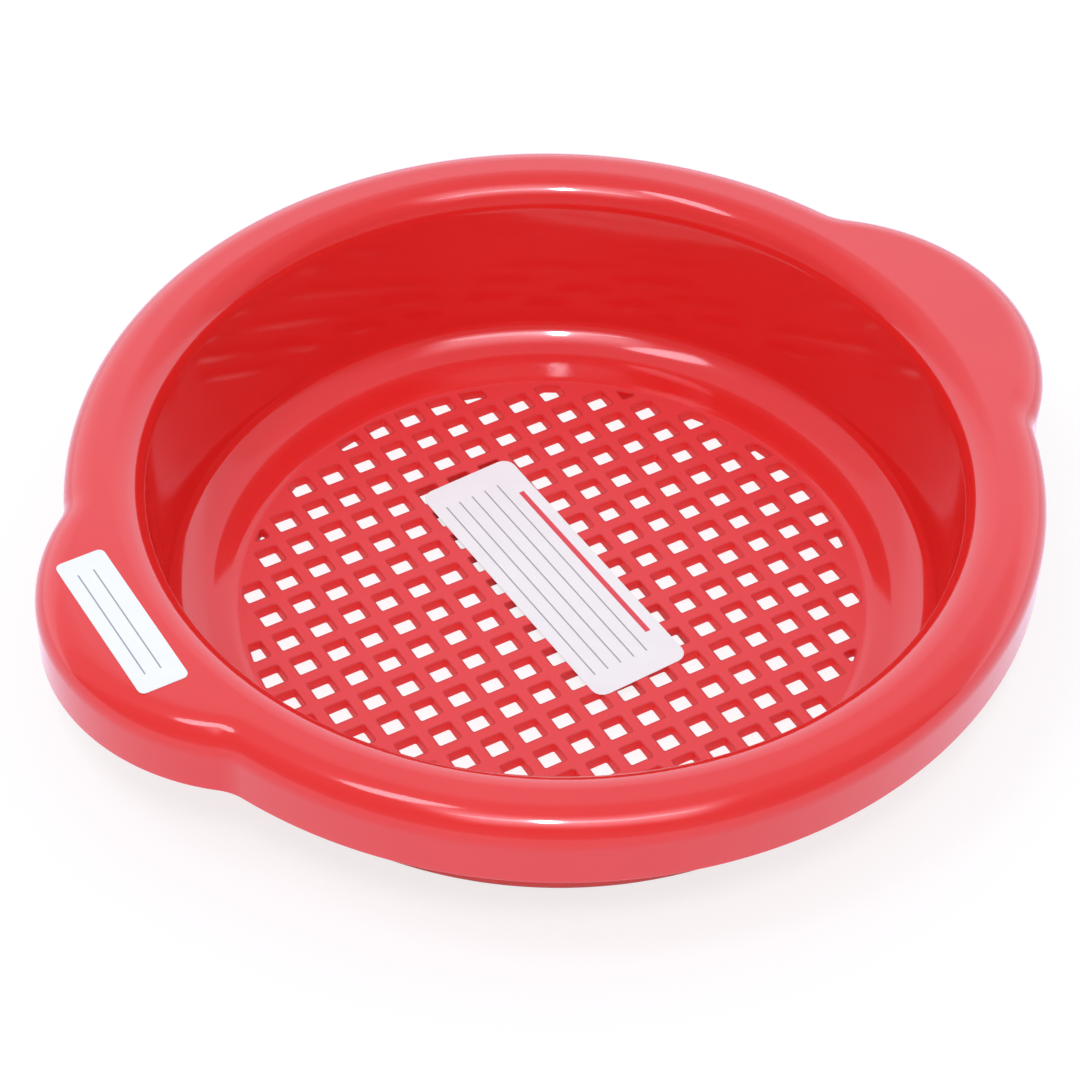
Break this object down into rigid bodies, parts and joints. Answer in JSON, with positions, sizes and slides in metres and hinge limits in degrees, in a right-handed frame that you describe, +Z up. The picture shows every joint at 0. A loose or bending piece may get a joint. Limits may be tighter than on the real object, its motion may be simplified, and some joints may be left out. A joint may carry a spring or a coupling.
{
  "type": "sand sieve",
  "caption": "Shallow round sand sieve with a square-holed floor, a steep wall, a broad rolled rim with a turned-down skirt, and an ear-shaped handle on each side.",
  "frame": {"origin": "middle of the flat base, on the surface that the sieve stands on", "axes": "+X through the handles towards the one without a label, +Y across, +Z up out of the mouth"},
  "size_m": [0.2004, 0.1794, 0.0396],
  "materials": {
    "red_plastic": "glossy moulded plastic, a little cloudy",
    "sticker": "white adhesive label film, blank"
  },
  "bodies": {
    "root": {"grille": "red_plastic", "bowl": "red_plastic", "rim_front": "red_plastic", "rim_back": "red_plastic", "handle_left": "red_plastic", "handle_right": "red_plastic", "floor_label": "sticker", "ear_label": "sticker"}
  },
  "joints": []
}
